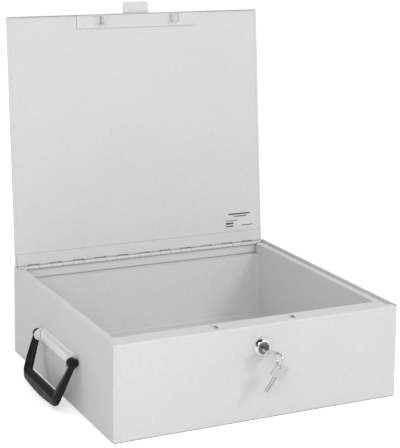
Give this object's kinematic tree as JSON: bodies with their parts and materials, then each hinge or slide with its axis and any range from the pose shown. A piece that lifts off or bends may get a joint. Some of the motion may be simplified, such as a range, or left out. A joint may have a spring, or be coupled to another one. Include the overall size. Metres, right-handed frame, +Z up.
{
  "type": "fireproof document box",
  "caption": "Low steel document box with a lined tray, a piano-hinged lid standing open, a cam lock with keys on a ring, and a folding carrying handle on one end.",
  "frame": {"origin": "middle of the flat base, on the plane it stands on", "axes": "+X to the right along the front, +Y to the hinge at the back, +Z up"},
  "size_m": [0.3802, 0.3965, 0.4313],
  "materials": {
    "powder_coat": "light grey powder coat, fine texture",
    "lid_coat": "light grey powder coat, smooth",
    "hinge_coat": "light grey powder coat, smooth",
    "lining_board": "matte, paper-faced gypsum board",
    "zinc": "bright zinc plate",
    "chrome": "polished",
    "key_nickel": "nickel plate",
    "label_foil": "satin",
    "grip_plastic": "satin, fine moulded texture",
    "plug_steel": "polished"
  },
  "bodies": {
    "body": {"outer_shell": "powder_coat", "inner_tray": "powder_coat", "board_floor": "lining_board", "board_left": "lining_board", "board_right": "lining_board", "board_back": "lining_board", "board_front": "lining_board", "lock_cover": "powder_coat", "guide_studs": "zinc", "lock_housing": "chrome", "lock_nut": "zinc", "hinge_leaf_body": "hinge_coat", "hinge_pin": "zinc", "handle_plate": "chrome", "handle_pins": "chrome", "handle_screws": "zinc", "handle_backplate": "zinc"},
    "lid": {"lid_panel": "powder_coat", "lid_board": "lining_board", "lid_liner": "lid_coat", "latch_strip": "lid_coat", "label": "label_foil", "hinge_leaf_lid": "hinge_coat"},
    "grip": {"handle_grip": "grip_plastic"},
    "plug": {"lock_plug": "plug_steel", "lock_cam": "zinc", "cam_screw": "zinc"},
    "bar": {"lock_bar": "zinc"},
    "key": {"key": "key_nickel"},
    "ring": {"key_ring": "key_nickel"},
    "spare": {"spare_key": "key_nickel"}
  },
  "joints": [
    {"name": "lid_hinge", "type": "hinge", "parent": "body", "child": "lid", "pos_m": [0, 0.16025, 0.1054], "axis": [1, 0, 0], "range_deg": [0, 95]},
    {"name": "grip_hinge", "type": "hinge", "parent": "body", "child": "grip", "pos_m": [-0.1815, -0.002, 0.056], "axis": [0, 1, 0], "range_deg": [-22, 74]},
    {"name": "plug_turn", "type": "hinge", "parent": "body", "child": "plug", "pos_m": [0, -0.163, 0.083], "axis": [0, 1, 0], "range_deg": [0, 90]},
    {"name": "bar_slide", "type": "slide", "parent": "body", "child": "bar", "axis": [1, 0, 0], "range_m": [0, 0.0142]},
    {"name": "key_pull", "type": "slide", "parent": "plug", "child": "key", "axis": [0, -1, 0], "range_m": [-0.008, 0.0095]},
    {"name": "ring_swing", "type": "hinge", "parent": "key", "child": "ring", "pos_m": [0.00406, -0.1946, 0.08191], "axis": [0, 1, 0], "range_deg": [-20, 20]},
    {"name": "spare_swing", "type": "hinge", "parent": "ring", "child": "spare", "pos_m": [0.00406, -0.1946, 0.07061], "axis": [0, 1, 0], "range_deg": [-30, 30]}
  ],
  "couplings": [
    {"joint": "plug_turn", "follows": "bar_slide", "rad_per_m": 110.6}
  ]
}
